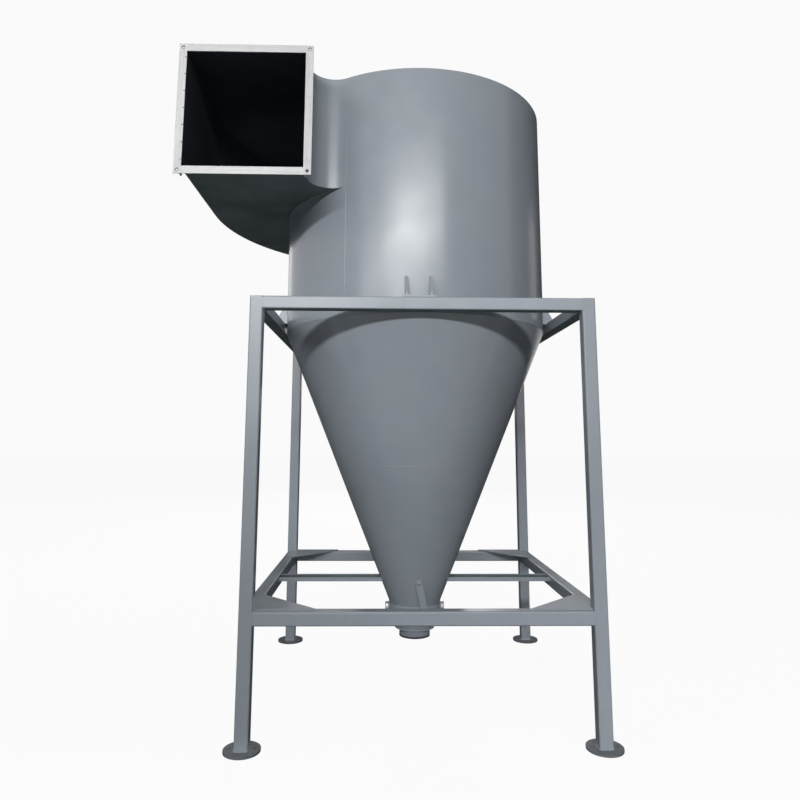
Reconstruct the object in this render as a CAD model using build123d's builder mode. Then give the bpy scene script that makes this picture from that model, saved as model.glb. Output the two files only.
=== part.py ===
from build123d import *
import os
from math import atan2, cos, degrees, radians, sin, sqrt

# Cyclone separator hung in a square tube stand, in millimetres.
# The origin is on the ground under the cyclone's axis. +Z is up and the inlet faces -Y.

os.makedirs("parts", exist_ok=True)

# Sheet and cuts
sheet = 4.0
overrun = 10.0

# Stand
frame_height = 1600.0
tube = 50.0
tube_corner = 6.0
barrel_clearance = 5.0
tie_beam_top = 463.0
foot_radius = 65.0
foot_thickness = 8.0
foot_hole_radius = 6.0
foot_hole_spacing = 90.0
corner_plate_leg = 290.0
corner_plate_thickness = 6.0
corner_plate_setback = 18.0

# Stays from the side tie beams to the cone, bent from strip and open at the top
stay_drop = 6.0
stay_width = 80.0
stay_height = 17.0
stay_wall = 4.0

# Lugs that carry the barrel on the top beams
lug_width = 130.0
lug_base = 8.0
lug_rib = 10.0
lug_rib_spacing = 95.0
lug_rib_height = 84.0
lug_rib_nose = 10.0
lug_setback = 4.0
lug_offset = 15.0

# Barrel and cone
barrel_radius = 600.0
barrel_above_lugs = 395.0
cone_bottom = 248.0
cone_end_radius = 71.0
cone_lower_height = 706.0

# Inlet duct and scroll, seen from above
duct_width = 464.0
duct_height = 473.0
scroll_depth = 329.0
scroll_straight_end = 150.0
scroll_centre_shift = 21.0
neck_radius = 98.0
neck_straight = 102.0

# Inlet flange, an angle section all round
angle_leg = 30.0
angle_thickness = 4.0
flange_hole_radius = 4.5

# Clean gas outlet
outlet_radius = 300.0
outlet_dip = 526.0
outlet_rise = 100.0

# Discharge
spigot_radius = 68.0
spigot_length = 36.0
spigot_flange_radius = 88.0
spigot_flange_thickness = 8.0
band_rise = 100.0
band_height = 45.0
band_wall = 4.0
band_gap = 6.0
ear_reach = 16.0
ear_thickness = 6.0
ear_height = 33.0
ear_drop = 3.0
strap_width = 30.0
strap_thickness = 6.0
strap_rise = 122.0
strap_lap = 26.0
strap_top_shift = 7.0
strap_bottom_shift = 39.0

# Worked out from the sizes above
frame_width = 2 * (barrel_radius + barrel_clearance + tube)
barrel_bottom = frame_height - tube
lug_top = frame_height + lug_base + lug_rib_height
barrel_top = lug_top + barrel_above_lugs + duct_height + 2 * sheet
stay_top = tie_beam_top - stay_drop
cone_seam = cone_bottom + cone_lower_height
spigot_bottom = cone_bottom - spigot_flange_thickness - spigot_length
band_top = cone_bottom + band_rise
strap_top = band_top + strap_rise
strap_bottom = band_top - strap_lap
scroll_reach = barrel_radius + scroll_depth
scroll_radius = scroll_reach + scroll_centre_shift
leg_centre = (frame_width - tube) / 2
clear_half = frame_width / 2 - tube
floor_top = barrel_top - sheet - duct_height
wall_top = barrel_top - sheet
neck_face = scroll_reach - 2 * sheet - duct_width
cone_slope = (barrel_radius - cone_end_radius) / (barrel_bottom - cone_bottom)
cone_wall = sheet * sqrt(1 + cone_slope**2)
band_inner = cone_end_radius + cone_slope * (band_top - cone_bottom)
band_outer = band_inner + band_wall
band_bottom = band_top - band_height

# The concave fillet of the neck touches the duct's inner wall and the barrel.
neck_centre_x = neck_radius - neck_face
neck_centre_y = -sqrt((barrel_radius + neck_radius) ** 2 - neck_centre_x**2)
neck_centre = (neck_centre_x, neck_centre_y)
duct_reach = neck_straight - neck_centre_y
duct_end = angle_thickness - duct_reach
neck_angle = degrees(atan2(neck_centre_y, neck_centre_x))
neck_start = (
    barrel_radius * cos(radians(neck_angle)),
    barrel_radius * sin(radians(neck_angle)),
)

# The scroll leaves the straight duct wall on a first arc. A second arc, with its centre
# on the X axis, carries it on and ends flush with the barrel on the right side.
first_centre = (scroll_centre_shift, -scroll_straight_end)
radius_drop = scroll_radius - barrel_radius
second_shift = (radius_drop**2 - scroll_centre_shift**2 - scroll_straight_end**2) / (
    2 * (scroll_centre_shift + radius_drop)
)
second_centre = (-second_shift, 0)
second_radius = barrel_radius + second_shift
scroll_turn = degrees(atan2(scroll_straight_end, -second_shift - scroll_centre_shift))

# Where the scroll and the neck come closer to the barrel than one sheet, the floor stops.
scroll_closing = sqrt(2 * sheet * barrel_radius * second_radius / second_shift)
neck_closing = sqrt(2 * sheet * barrel_radius * neck_radius / (barrel_radius + neck_radius))

ends = {"front": -1, "rear": 1}
sides = {"left": -1, "right": 1}
lug_angles = {"front": -90, "right": 0, "rear": 90, "left": 180}


def save(builder, label):
    """Label the finished part and write its file."""
    builder.part.label = label
    export_step(builder.part, f"parts/{label}.step")


def cone_radius(height):
    """Outside radius of the cone at a height above the ground."""
    return cone_end_radius + cone_slope * (height - cone_bottom)


def upright_plane(angle, shift):
    """Vertical plane along a radius, its x outwards and its y upwards."""
    outward = Vector(cos(radians(angle)), sin(radians(angle)), 0)
    across = outward.cross(Vector(0, 0, 1))
    return Plane(origin=across * shift, x_dir=outward, z_dir=across)


def ring_sector(centre, outer, inner, start, span):
    """Flat face between two arcs on one centre."""
    with BuildSketch() as sector:
        with BuildLine():
            outer_arc = CenterArc(centre, outer, start, span)
            inner_arc = CenterArc(centre, inner, start, span)
            Line(outer_arc @ 0, inner_arc @ 0)
            Line(outer_arc @ 1, inner_arc @ 1)
        make_face()
    return sector.sketch


def plan_outline():
    """Flat face of the whole plan of barrel, scroll and duct, out to their outer faces."""
    with BuildSketch() as plan:
        with BuildLine():
            mouth = Line((-neck_face, duct_end), (-scroll_reach, duct_end))
            Line(mouth @ 1, (-scroll_reach, -scroll_straight_end))
            CenterArc(first_centre, scroll_radius, 180, scroll_turn - 180)
            CenterArc(second_centre, second_radius, scroll_turn, -scroll_turn)
            CenterArc((0, 0), barrel_radius, 0, neck_angle)
            neck = CenterArc(neck_centre, neck_radius, neck_angle + 180, -neck_angle)
            Line(neck @ 1, mouth @ 0)
        make_face()
    return plan.sketch


# Legs
for end, y_sign in ends.items():
    for side, x_sign in sides.items():
        with BuildPart() as leg:
            with BuildSketch(Plane.XY.offset(foot_thickness)):
                with Locations((x_sign * leg_centre, y_sign * leg_centre)):
                    RectangleRounded(tube, tube, tube_corner)
            extrude(amount=frame_height - foot_thickness)
        save(leg, f"leg_{end}_{side}")

        with BuildPart() as foot_plate:
            with BuildSketch():
                with Locations((x_sign * leg_centre, y_sign * leg_centre)):
                    Circle(foot_radius)
                    with GridLocations(foot_hole_spacing, 0, 2, 1):
                        Circle(foot_hole_radius, mode=Mode.SUBTRACT)
            extrude(amount=foot_thickness)
        save(foot_plate, f"foot_plate_{end}_{side}")

# Triangular plates on the corners of the tie beams, set back from the outer faces and
# notched round the legs
with BuildPart() as corner_plates:
    with BuildSketch(Plane.XY.offset(tie_beam_top)):
        rim = frame_width / 2 - corner_plate_setback
        tip = frame_width / 2 - corner_plate_leg + corner_plate_setback
        with BuildLine():
            Polyline(
                (tip, rim),
                (clear_half, rim),
                (clear_half, clear_half),
                (rim, clear_half),
                (rim, tip),
                close=True,
            )
        make_face()
        mirror(about=Plane.YZ)
        mirror(about=Plane.XZ)
    extrude(amount=corner_plate_thickness)
save(corner_plates, "corner_plates")

# Beams between the legs, flush with the leg tops and again near the ground
for level, beam_top in {"top": frame_height, "tie": tie_beam_top}.items():
    for end, y_sign in ends.items():
        with BuildPart() as cross_beam:
            with BuildSketch(Plane.YZ.offset(-clear_half)):
                with Locations((y_sign * leg_centre, beam_top - tube / 2)):
                    RectangleRounded(tube, tube, tube_corner)
            extrude(amount=2 * clear_half)
        save(cross_beam, f"{level}_beam_{end}")

    for side, x_sign in sides.items():
        with BuildPart() as side_beam:
            with BuildSketch(Plane.XZ.offset(-clear_half)):
                with Locations((x_sign * leg_centre, beam_top - tube / 2)):
                    RectangleRounded(tube, tube, tube_corner)
            extrude(amount=2 * clear_half)
        save(side_beam, f"{level}_beam_{side}")

# Stays, cut to the cone
for side, x_sign in sides.items():
    with BuildPart() as stay:
        with BuildSketch(Plane.YZ.offset(x_sign * clear_half)):
            with Locations((0, stay_top - stay_height / 2)):
                Rectangle(stay_width, stay_height)
            with Locations((0, stay_top - stay_height / 2 + stay_wall)):
                Rectangle(stay_width - 2 * stay_wall, stay_height, mode=Mode.SUBTRACT)
        extrude(amount=-x_sign * clear_half)
        with BuildSketch(Plane.XZ):
            with BuildLine():
                Polyline(
                    (0, cone_bottom),
                    (cone_end_radius, cone_bottom),
                    (cone_radius(cone_seam), cone_seam),
                    (0, cone_seam),
                    close=True,
                )
            make_face()
        revolve(axis=Axis.Z, mode=Mode.SUBTRACT)
    save(stay, f"stay_{side}")

# Lugs, each a base plate with two ribs, cut to the barrel
for place, angle in lug_angles.items():
    with BuildPart() as lug:
        lug_outer = frame_width / 2 - lug_setback
        lug_inner = barrel_radius - overrun
        rib_foot = frame_height + lug_base
        with BuildSketch(upright_plane(angle, lug_offset)):
            with BuildLine():
                Polyline(
                    (lug_inner, frame_height),
                    (lug_outer, frame_height),
                    (lug_outer, rib_foot),
                    (lug_inner, rib_foot),
                    close=True,
                )
            make_face()
        extrude(amount=lug_width / 2, both=True)
        for across in (-1, 1):
            with BuildSketch(upright_plane(angle, lug_offset + across * lug_rib_spacing / 2)):
                with BuildLine():
                    Polyline(
                        (lug_inner, rib_foot),
                        (lug_outer, rib_foot),
                        (lug_outer, rib_foot + lug_rib_nose),
                        (barrel_radius + lug_rib_nose, lug_top),
                        (lug_inner, lug_top),
                        close=True,
                    )
                make_face()
            extrude(amount=lug_rib / 2, both=True)
        with BuildSketch(Plane.XY.offset(barrel_bottom)):
            Circle(barrel_radius)
        extrude(amount=barrel_top - barrel_bottom, mode=Mode.SUBTRACT)
    save(lug, f"support_lug_{place}")

# Barrel, four curved sheets. The rear two stop under the scroll.
front_span = neck_angle / 2
rear_span = (360 + neck_angle) / 2
barrel_sheets = {
    "barrel_front_right": (0, front_span, wall_top),
    "barrel_front_left": (front_span, front_span, wall_top),
    "barrel_rear_right": (0, rear_span, floor_top),
    "barrel_rear_left": (rear_span, rear_span, floor_top),
}
for label, (start, span, sheet_top) in barrel_sheets.items():
    with BuildPart() as barrel_sheet:
        with BuildSketch(Plane.XY.offset(barrel_bottom)):
            add(ring_sector((0, 0), barrel_radius, barrel_radius - sheet, start, span))
        extrude(amount=sheet_top - barrel_bottom)
    save(barrel_sheet, label)

# Scroll and duct walls, standing on the floor plate
with BuildPart() as scroll_side_wall:
    with BuildSketch(Plane.XY.offset(floor_top)):
        with BuildLine():
            Polyline(
                (-scroll_reach, duct_end),
                (sheet - scroll_reach, duct_end),
                (sheet - scroll_reach, -scroll_straight_end),
                (-scroll_reach, -scroll_straight_end),
                close=True,
            )
        make_face()
        add(ring_sector(first_centre, scroll_radius, scroll_radius - sheet, 180, scroll_turn - 180))
    extrude(amount=duct_height)
save(scroll_side_wall, "scroll_side_wall")

with BuildPart() as scroll_rear_wall:
    with BuildSketch(Plane.XY.offset(floor_top)):
        add(ring_sector(second_centre, second_radius, second_radius - sheet, scroll_turn, -scroll_turn))
    extrude(amount=duct_height)
save(scroll_rear_wall, "scroll_rear_wall")

with BuildPart() as inlet_neck_wall:
    with BuildSketch(Plane.XY.offset(floor_top)):
        with BuildLine():
            Polyline(
                (-neck_face - sheet, duct_end),
                (-neck_face, duct_end),
                (-neck_face, neck_centre_y),
                (-neck_face - sheet, neck_centre_y),
                close=True,
            )
        make_face()
        add(ring_sector(neck_centre, neck_radius + sheet, neck_radius, 180, neck_angle))
    extrude(amount=duct_height)
save(inlet_neck_wall, "inlet_neck_wall")

# Scroll floor, a flat plate round the barrel
with BuildPart() as scroll_floor:
    with BuildSketch(Plane.XY.offset(floor_top - sheet)):
        add(plan_outline())
        Circle(barrel_radius, mode=Mode.SUBTRACT)
        with Locations((barrel_radius, 0)):
            Circle(scroll_closing, mode=Mode.SUBTRACT)
        with Locations(neck_start):
            Circle(neck_closing, mode=Mode.SUBTRACT)
    extrude(amount=sheet)
save(scroll_floor, "scroll_floor")

# Roof plate, with a hole for the outlet tube
with BuildPart() as roof_plate:
    with BuildSketch(Plane.XY.offset(wall_top)):
        add(plan_outline())
        Circle(outlet_radius, mode=Mode.SUBTRACT)
    extrude(amount=sheet)
save(roof_plate, "roof_plate")

with BuildPart() as outlet_tube:
    with BuildSketch(Plane.XY.offset(barrel_top - outlet_dip)):
        Circle(outlet_radius)
        Circle(outlet_radius - sheet, mode=Mode.SUBTRACT)
    extrude(amount=outlet_dip + outlet_rise)
save(outlet_tube, "outlet_tube")

# Inlet flange, four lengths of angle: the uprights run the full height, the others between
duct_middle_x = -(scroll_reach + neck_face) / 2
duct_middle_z = floor_top + duct_height / 2
flange_height = duct_height + 2 * angle_leg
flange_plane = Plane.XZ.offset(duct_reach)
back_leg_plane = Plane.XZ.offset(duct_reach - angle_thickness)
for side, x_sign in sides.items():
    face_x = duct_middle_x + x_sign * (duct_width + angle_leg) / 2
    back_leg_x = duct_middle_x + x_sign * (duct_width / 2 + sheet + angle_thickness / 2)
    with BuildPart() as upright:
        with BuildSketch(flange_plane):
            with Locations((face_x, duct_middle_z)):
                Rectangle(angle_leg, flange_height)
                with GridLocations(0, duct_height + angle_leg, 1, 2):
                    Circle(flange_hole_radius, mode=Mode.SUBTRACT)
        extrude(amount=-angle_thickness)
        with BuildSketch(back_leg_plane):
            with Locations((back_leg_x, duct_middle_z)):
                Rectangle(angle_thickness, flange_height)
        extrude(amount=angle_thickness - angle_leg)
    save(upright, f"inlet_flange_{side}")

for level, z_sign in {"bottom": -1, "top": 1}.items():
    face_z = duct_middle_z + z_sign * (duct_height + angle_leg) / 2
    back_leg_z = duct_middle_z + z_sign * (duct_height / 2 + sheet + angle_thickness / 2)
    with BuildPart() as rail:
        with BuildSketch(flange_plane):
            with Locations((duct_middle_x, face_z)):
                Rectangle(duct_width, angle_leg)
        extrude(amount=-angle_thickness)
        with BuildSketch(back_leg_plane):
            with Locations((duct_middle_x, back_leg_z)):
                Rectangle(duct_width, angle_thickness)
        extrude(amount=angle_thickness - angle_leg)
    save(rail, f"inlet_flange_{level}")

# Cone, two courses of two half sheets
for course, (low, high) in {"upper": (cone_seam, barrel_bottom), "lower": (cone_bottom, cone_seam)}.items():
    for end, sign in ends.items():
        with BuildPart() as cone_sheet:
            with BuildSketch(Plane.XZ):
                with BuildLine():
                    Polyline(
                        (sign * cone_radius(low), low),
                        (sign * cone_radius(high), high),
                        (sign * (cone_radius(high) - cone_wall), high),
                        (sign * (cone_radius(low) - cone_wall), low),
                        close=True,
                    )
                make_face()
            revolve(axis=Axis.Z, revolution_arc=180)
        save(cone_sheet, f"cone_{course}_{end}")

# Discharge spigot with its flange under the cone
with BuildPart() as discharge_spigot:
    flange_bottom = cone_bottom - spigot_flange_thickness
    with BuildSketch(Plane.XY.offset(flange_bottom)):
        Circle(spigot_flange_radius)
        Circle(spigot_radius - sheet, mode=Mode.SUBTRACT)
    extrude(amount=spigot_flange_thickness)
    with BuildSketch(Plane.XY.offset(spigot_bottom)):
        Circle(spigot_radius)
        Circle(spigot_radius - sheet, mode=Mode.SUBTRACT)
    extrude(amount=flange_bottom - spigot_bottom)
save(discharge_spigot, "discharge_spigot")

# Clamp band round the cone's end: two half rings of angle section with bolted ears
for end, sign in ends.items():
    with BuildPart() as band_half:
        with BuildSketch(Plane.XZ):
            with BuildLine():
                Polyline(
                    (sign * cone_radius(band_bottom), band_bottom),
                    (sign * band_outer, band_bottom),
                    (sign * band_outer, band_top),
                    (sign * band_inner, band_top),
                    (sign * band_inner, band_bottom + band_wall),
                    (sign * cone_radius(band_bottom + band_wall), band_bottom + band_wall),
                    close=True,
                )
            make_face()
        revolve(axis=Axis.Z, revolution_arc=180)
        with BuildSketch(Plane.XY.offset(band_bottom - overrun)):
            Rectangle(2 * band_outer + 2 * overrun, band_gap)
        extrude(amount=band_height + 2 * overrun, mode=Mode.SUBTRACT)
        with BuildSketch(Plane.XY.offset(band_top - ear_drop - ear_height)):
            for x_sign in sides.values():
                ear_middle = band_inner + (band_wall + ear_reach) / 2
                with Locations((x_sign * ear_middle, sign * (band_gap + ear_thickness) / 2)):
                    Rectangle(band_wall + ear_reach, ear_thickness)
        extrude(amount=ear_height)
    save(band_half, f"clamp_band_{end}")

# Strap from the cone down to the clamp band, lying on both
strap_reach_top = sqrt(cone_radius(strap_top) ** 2 - strap_top_shift**2)
strap_reach_bottom = sqrt(band_outer**2 - strap_bottom_shift**2)
strap_head = Vector(strap_top_shift, -strap_reach_top, strap_top)
strap_tail = Vector(strap_bottom_shift, -strap_reach_bottom, strap_bottom)
strap_line = strap_tail - strap_head
strap_across = strap_line.cross(Vector(0, 1, 0)).normalized()
with BuildPart() as collar_strap:
    strap_plane = Plane(origin=strap_head, x_dir=strap_across, z_dir=strap_line)
    with BuildSketch(strap_plane):
        Rectangle(strap_width, 2 * strap_thickness)
    extrude(amount=strap_line.length)
    with BuildSketch(Plane.XZ):
        with BuildLine():
            Polyline(
                (0, band_bottom),
                (band_outer, band_bottom),
                (band_outer, band_top),
                (cone_radius(band_top), band_top),
                (cone_radius(cone_seam), cone_seam),
                (0, cone_seam),
                close=True,
            )
        make_face()
    revolve(axis=Axis.Z, mode=Mode.SUBTRACT)
save(collar_strap, "collar_strap")
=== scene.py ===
"""Finish, fasteners, weld beads and studio for a dust cyclone in a square tube stand."""

from itertools import product
from math import atan2, cos, degrees, pi, radians, sin, sqrt

import bmesh
import bpy
from mathutils import Matrix, Vector


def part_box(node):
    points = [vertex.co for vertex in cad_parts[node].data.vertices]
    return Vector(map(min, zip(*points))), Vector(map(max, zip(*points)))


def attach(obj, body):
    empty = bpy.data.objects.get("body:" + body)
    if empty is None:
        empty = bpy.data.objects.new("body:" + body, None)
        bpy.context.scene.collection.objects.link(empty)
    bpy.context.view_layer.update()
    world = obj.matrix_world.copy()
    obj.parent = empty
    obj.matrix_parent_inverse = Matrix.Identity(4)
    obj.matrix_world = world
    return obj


bl_info = {
    "name": "Dust cyclone finish",
    "version": (1, 0, 0),
    "blender": (4, 5, 0),
    "location": "3D View > Sidebar > Cyclone",
    "description": "Paint, zinc, weld beads and fasteners for a dust cyclone in its stand",
    "category": "Object",
}

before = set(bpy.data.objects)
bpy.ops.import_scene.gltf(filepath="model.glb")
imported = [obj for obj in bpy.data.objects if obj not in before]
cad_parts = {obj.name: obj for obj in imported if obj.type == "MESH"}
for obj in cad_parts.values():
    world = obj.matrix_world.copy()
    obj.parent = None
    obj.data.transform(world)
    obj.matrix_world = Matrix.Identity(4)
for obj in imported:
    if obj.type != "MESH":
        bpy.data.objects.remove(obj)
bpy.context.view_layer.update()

# Main places, read from the construction model, in metres
SHEET = 0.004
BARREL_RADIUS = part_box("barrel_rear_right")[1].x
BARREL_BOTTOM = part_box("barrel_rear_right")[0].z
FLOOR_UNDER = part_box("scroll_floor")[0].z
FLOOR_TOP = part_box("scroll_floor")[1].z
ROOF_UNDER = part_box("roof_plate")[0].z
ROOF_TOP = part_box("roof_plate")[1].z
OUTLET_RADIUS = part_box("outlet_tube")[1].x
CONE_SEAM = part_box("cone_lower_front")[1].z
CONE_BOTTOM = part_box("cone_lower_front")[0].z
SEAM_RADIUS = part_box("cone_lower_front")[1].x
SPIGOT_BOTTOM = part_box("discharge_spigot")[0].z
NECK_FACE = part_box("inlet_neck_wall")[0].x + SHEET
SCROLL_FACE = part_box("scroll_side_wall")[0].x
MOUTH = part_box("inlet_flange_left")[0].y
FRAME_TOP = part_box("leg_front_left")[1].z
FOOT_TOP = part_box("leg_front_left")[0].z
FRAME_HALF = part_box("leg_front_right")[1].x
TUBE = FRAME_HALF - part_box("leg_front_right")[0].x
TIE_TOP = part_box("tie_beam_front")[1].z
TUBE_CORNER = 0.006
NECK_RADIUS = 0.098
NECK_X = NECK_FACE + NECK_RADIUS
NECK_CENTRE = Vector((NECK_X, -sqrt((BARREL_RADIUS + NECK_RADIUS) ** 2 - NECK_X**2), 0))
CONE_SLOPE = (BARREL_RADIUS - SEAM_RADIUS) / (BARREL_BOTTOM - CONE_SEAM)
UP = Vector((0, 0, 1))
CORNERS = [(x, y) for x in (-1, 1) for y in (-1, 1)]

# Most values of a noise texture lie between these two
NOISE_LOW, NOISE_HIGH = 0.3, 0.7
# A face counts as turned to or from an arrow when their product passes this
TURNED = 0.01


def cone_radius(height):
    """Outside radius of the cone at a height above the ground."""
    return SEAM_RADIUS + CONE_SLOPE * (height - CONE_SEAM)


def linear(hex_code):
    """Linear RGBA from an sRGB hex value."""
    channels = [int(hex_code[i : i + 2], 16) / 255 for i in (1, 3, 5)]
    return tuple(c / 12.92 if c <= 0.04045 else ((c + 0.055) / 1.055) ** 2.4 for c in channels) + (1,)


def number(name, description, default, least=0, **more):
    """A number for a property group."""
    return bpy.props.FloatProperty(name=name, description=description, default=default, min=least, **more)


def length(name, description, default):
    """A size in metres for a property group."""
    return number(name, description, default, unit="LENGTH")


def share(name, description, default):
    """A share from 0 to 1 for a property group."""
    return number(name, description, default, max=1, subtype="FACTOR")


def vector(name, description, default, **more):
    """Several numbers for a property group."""
    return bpy.props.FloatVectorProperty(
        name=name, description=description, default=default, size=len(default), **more
    )


def colour(name, description, hex_code):
    """A colour for a property group."""
    return vector(name, description, linear(hex_code), min=0, max=1, subtype="COLOR")


class CYCLONE_PG_paint(bpy.types.PropertyGroup):
    """Grey enamel on sheet and tube."""

    grey: colour("Grey", "Main colour of the enamel", "#8a9098")
    grey_cool: colour("Cool grey", "Enamel where it leans to blue", "#888c99")
    grey_green: colour("Green grey", "Enamel where it leans to green", "#879294")
    # The underside colour is painted shade: a darker matt colour on faces that look down, and in the stays'
    # trough, where it also stands for dust.
    underside: colour("Underside", "Matt priming coat on undersides and in troughs", "#5d676a")
    # The inside colour is painted shade: a near-black on the cyclone's inner faces, where only shade falls.
    inside: colour("Inside", "Bare and dusty sheet inside the cyclone", "#272b31")
    roughness: share("Roughness", "Roughness of the enamel", 0.24)
    gloss: share("Gloss", "Specular level of the enamel", 0.32)
    matt_roughness: share("Matt roughness", "Roughness where the coat is matt", 0.85)
    matt_gloss: share("Matt gloss", "Specular level where the coat is matt", 0.1)
    patch_size: length("Patch size", "Width of the patches where the enamel's hue drifts", 0.22)
    roll_width: length("Roll width", "Width of the shallow waves that the rolls leave in the sheet", 0.11)
    roll_depth: length("Roll depth", "Depth of those waves", 0.001)
    peel_size: length("Peel size", "Width of the dimples in the enamel's skin", 0.012)
    peel_depth: length("Peel depth", "Depth of the dimples in the enamel's skin", 0.00003)


class CYCLONE_PG_flange(bpy.types.PropertyGroup):
    """Zinc coated angle round the inlet."""

    zinc: colour("Zinc", "Zinc coat of the angle", "#bcbcbb")
    zinc_dull: colour("Dull zinc", "Streaks where the coat has dulled", "#abacae")
    roughness: share("Roughness", "Roughness of the zinc coat", 0.55)
    streak_width: length("Streak width", "Width of the streaks along a bar", 0.006)
    streak_length: length("Streak length", "Length of the streaks along a bar", 0.22)
    # This dark colour paints the shade round the flange's corner holes.
    hole_shade: colour("Burnt zinc", "Smudge of the corner welds", "#4a4a48")
    smudge: length("Smudge", "Radius of the smudge round a corner hole", 0.009)
    smudge_place: length("Smudge place", "From the inner edge of the angle to the corner hole", 0.015)


class CYCLONE_PG_weld(bpy.types.PropertyGroup):
    """Painted weld beads."""

    vessel_width: length("Vessel bead", "Width of the beads on the sheet seams", 0.0038)
    stand_width: length("Stand bead", "Width of the fillet beads on the stand", 0.007)
    ripple: length("Ripple", "Half the distance from one ripple to the next", 0.005)
    ripple_depth: share("Ripple depth", "How much narrower the bead is between ripples", 0.16)


class CYCLONE_PG_fasteners(bpy.types.PropertyGroup):
    """Rivets, screws and bolts."""

    zinc: colour("Zinc", "Bright zinc plate of the bolts", "#c9ccd0")
    rivet: colour("Rivet", "Dulled aluminium of the rivets", "#8c8f91")
    # On the inner rivet heads this near-black is painted shade inside the duct; on the tack welds it is their
    # own dark colour.
    shade_and_tack_dark: colour("Dusty rivet", "Rivets and tack welds dark with dust and heat", "#2c2e30")
    rivet_pitch: length("Rivet pitch", "Distance from one rivet to the next", 0.07)
    rivet_head: length("Rivet head", "Diameter of a rivet head", 0.0095)
    rivet_height: length("Rivet height", "Height of a rivet head", 0.0026)
    screw_head: length("Screw head", "Diameter of the round screw heads on the strap", 0.02)
    screw_height: length("Screw height", "Height of those screw heads", 0.006)
    bolt_flats: length("Bolt flats", "Width across flats of the clamp bolts", 0.013)
    bolt_head: length("Bolt head", "Height of a clamp bolt's head", 0.0055)
    washer: length("Washer", "Diameter of the washers", 0.017)
    washer_thickness: length("Washer thickness", "Thickness of the washers", 0.0016)
    bolt_grip: length("Bolt grip", "Distance over both ears and the gap between them", 0.018)
    bolt_setback: length("Bolt setback", "Distance from the ear's edge to the bolt", 0.0085)


class CYCLONE_PG_stage(bpy.types.PropertyGroup):
    """Studio floor, lamps and camera. A lamp's brightness is that of its face, where 1 is white."""

    paper: colour("Paper", "Floor and background as the camera sees them", "#fafafa")
    floor_grey: colour("Floor grey", "Floor as it lights the object", "#9e9e9e")
    windows: number("Windows", "Brightness of the row of windows high in front", 61.5)
    doorway: number("Doorway", "Brightness of the doorway below them", 9.4)
    shadow_share: share("Shadow share", "How much of the floor's white shows the object's shadow", 0.06)
    window_left: number("Left window", "Brightness of the lamp at the left", 2.5)
    sky_behind: number("Sky behind", "Brightness of the sky that lights the back", 5.0)
    low_right: number("Low right", "Brightness of the low window on the right", 0.45)
    leak: number("Leak", "Brightness of the daylight that leaks into the duct", 2.2)
    gleam: number("Gleam", "Brightness of the window behind the left edge", 2.2)
    fill: number("Fill", "Brightness of the room on every side", 0.05)
    overhead: number("Overhead", "Brightness of the lamp above", 0.6)
    behind: number("Behind", "Brightness of the lamp behind", 2.5)
    camera_place: vector("Camera place", "Where it stands", (-0.16488, -3.08261, 1.06304), unit="LENGTH")
    camera_turn: vector(
        "Camera turn", "Turn to the right, tilt up and roll", (0.0208, 0.1488, 0.0039), subtype="EULER"
    )
    camera_lens: number("Lens", "Focal length in millimetres on a 36 mm sensor", 29.4975, least=1)
    camera_shift: vector("Shift", "Shift of the picture across and up", (0.008625, -0.0731))


def fill(tree, node, inputs):
    """Set or link a node's inputs by name or number. A node stands for its first output."""
    for key, value in inputs.items():
        if isinstance(value, bpy.types.Node):
            value = value.outputs[0]
        if isinstance(value, bpy.types.NodeSocket):
            tree.links.new(value, node.inputs[key])
        else:
            node.inputs[key].default_value = value


def add_node(tree, kind, inputs=None, **settings):
    """Add a node, set its properties and fill its inputs."""
    made = tree.nodes.new(kind)
    for name, value in settings.items():
        setattr(made, name, value)
    fill(tree, made, inputs or {})
    return made


def empty_tree(owner):
    """The node tree of a material or world, emptied."""
    owner.use_nodes = True
    owner.node_tree.nodes.clear()
    return owner.node_tree


def new_material(name):
    """A material with nothing in it but its shader and output."""
    material = bpy.data.materials.new(name)
    tree = empty_tree(material)
    shader = add_node(tree, "ShaderNodeBsdfPrincipled")
    add_node(tree, "ShaderNodeOutputMaterial", {"Surface": shader})
    return material, tree, shader


def new_object(name, data):
    """An object in the scene that shows the given mesh, lamp or camera."""
    made = bpy.data.objects.new(name, data)
    bpy.context.scene.collection.objects.link(made)
    return made


def compare(tree, value, operation, limit):
    """1 where a value passes the test, else 0."""
    return add_node(tree, "ShaderNodeMath", {0: value, 1: limit}, operation=operation)


def both(tree, first, second):
    """1 where both masks are 1."""
    return add_node(tree, "ShaderNodeMath", {0: first, 1: second}, operation="MULTIPLY")


def level_facing(tree, coordinates, arrow):
    """How much faces look along the level part of an arrow."""
    level = add_node(tree, "ShaderNodeVectorMath", {0: arrow, 1: (1, 1, 0)}, operation="MULTIPLY")
    facing = {0: coordinates.outputs["Normal"], 1: level}
    return add_node(tree, "ShaderNodeVectorMath", facing, operation="DOT_PRODUCT").outputs["Value"]


def looks_inward(tree, coordinates):
    """1 on faces that look towards the cyclone's axis."""
    facing = level_facing(tree, coordinates, coordinates.outputs["Object"])
    return compare(tree, facing, "LESS_THAN", -TURNED)


def looks_off_neck(tree, coordinates):
    """1 on faces that look away from the axis of the neck's bend."""
    place = {0: coordinates.outputs["Object"], 1: NECK_CENTRE}
    outward = add_node(tree, "ShaderNodeVectorMath", place, operation="SUBTRACT")
    return compare(tree, level_facing(tree, coordinates, outward), "GREATER_THAN", TURNED)


def looks_down(tree, coordinates):
    """1 on faces that look down or lean up to 60 degrees from that."""
    facing = add_node(tree, "ShaderNodeSeparateXYZ", {0: coordinates.outputs["Normal"]})
    return compare(tree, facing.outputs["Z"], "LESS_THAN", -0.5)


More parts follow.
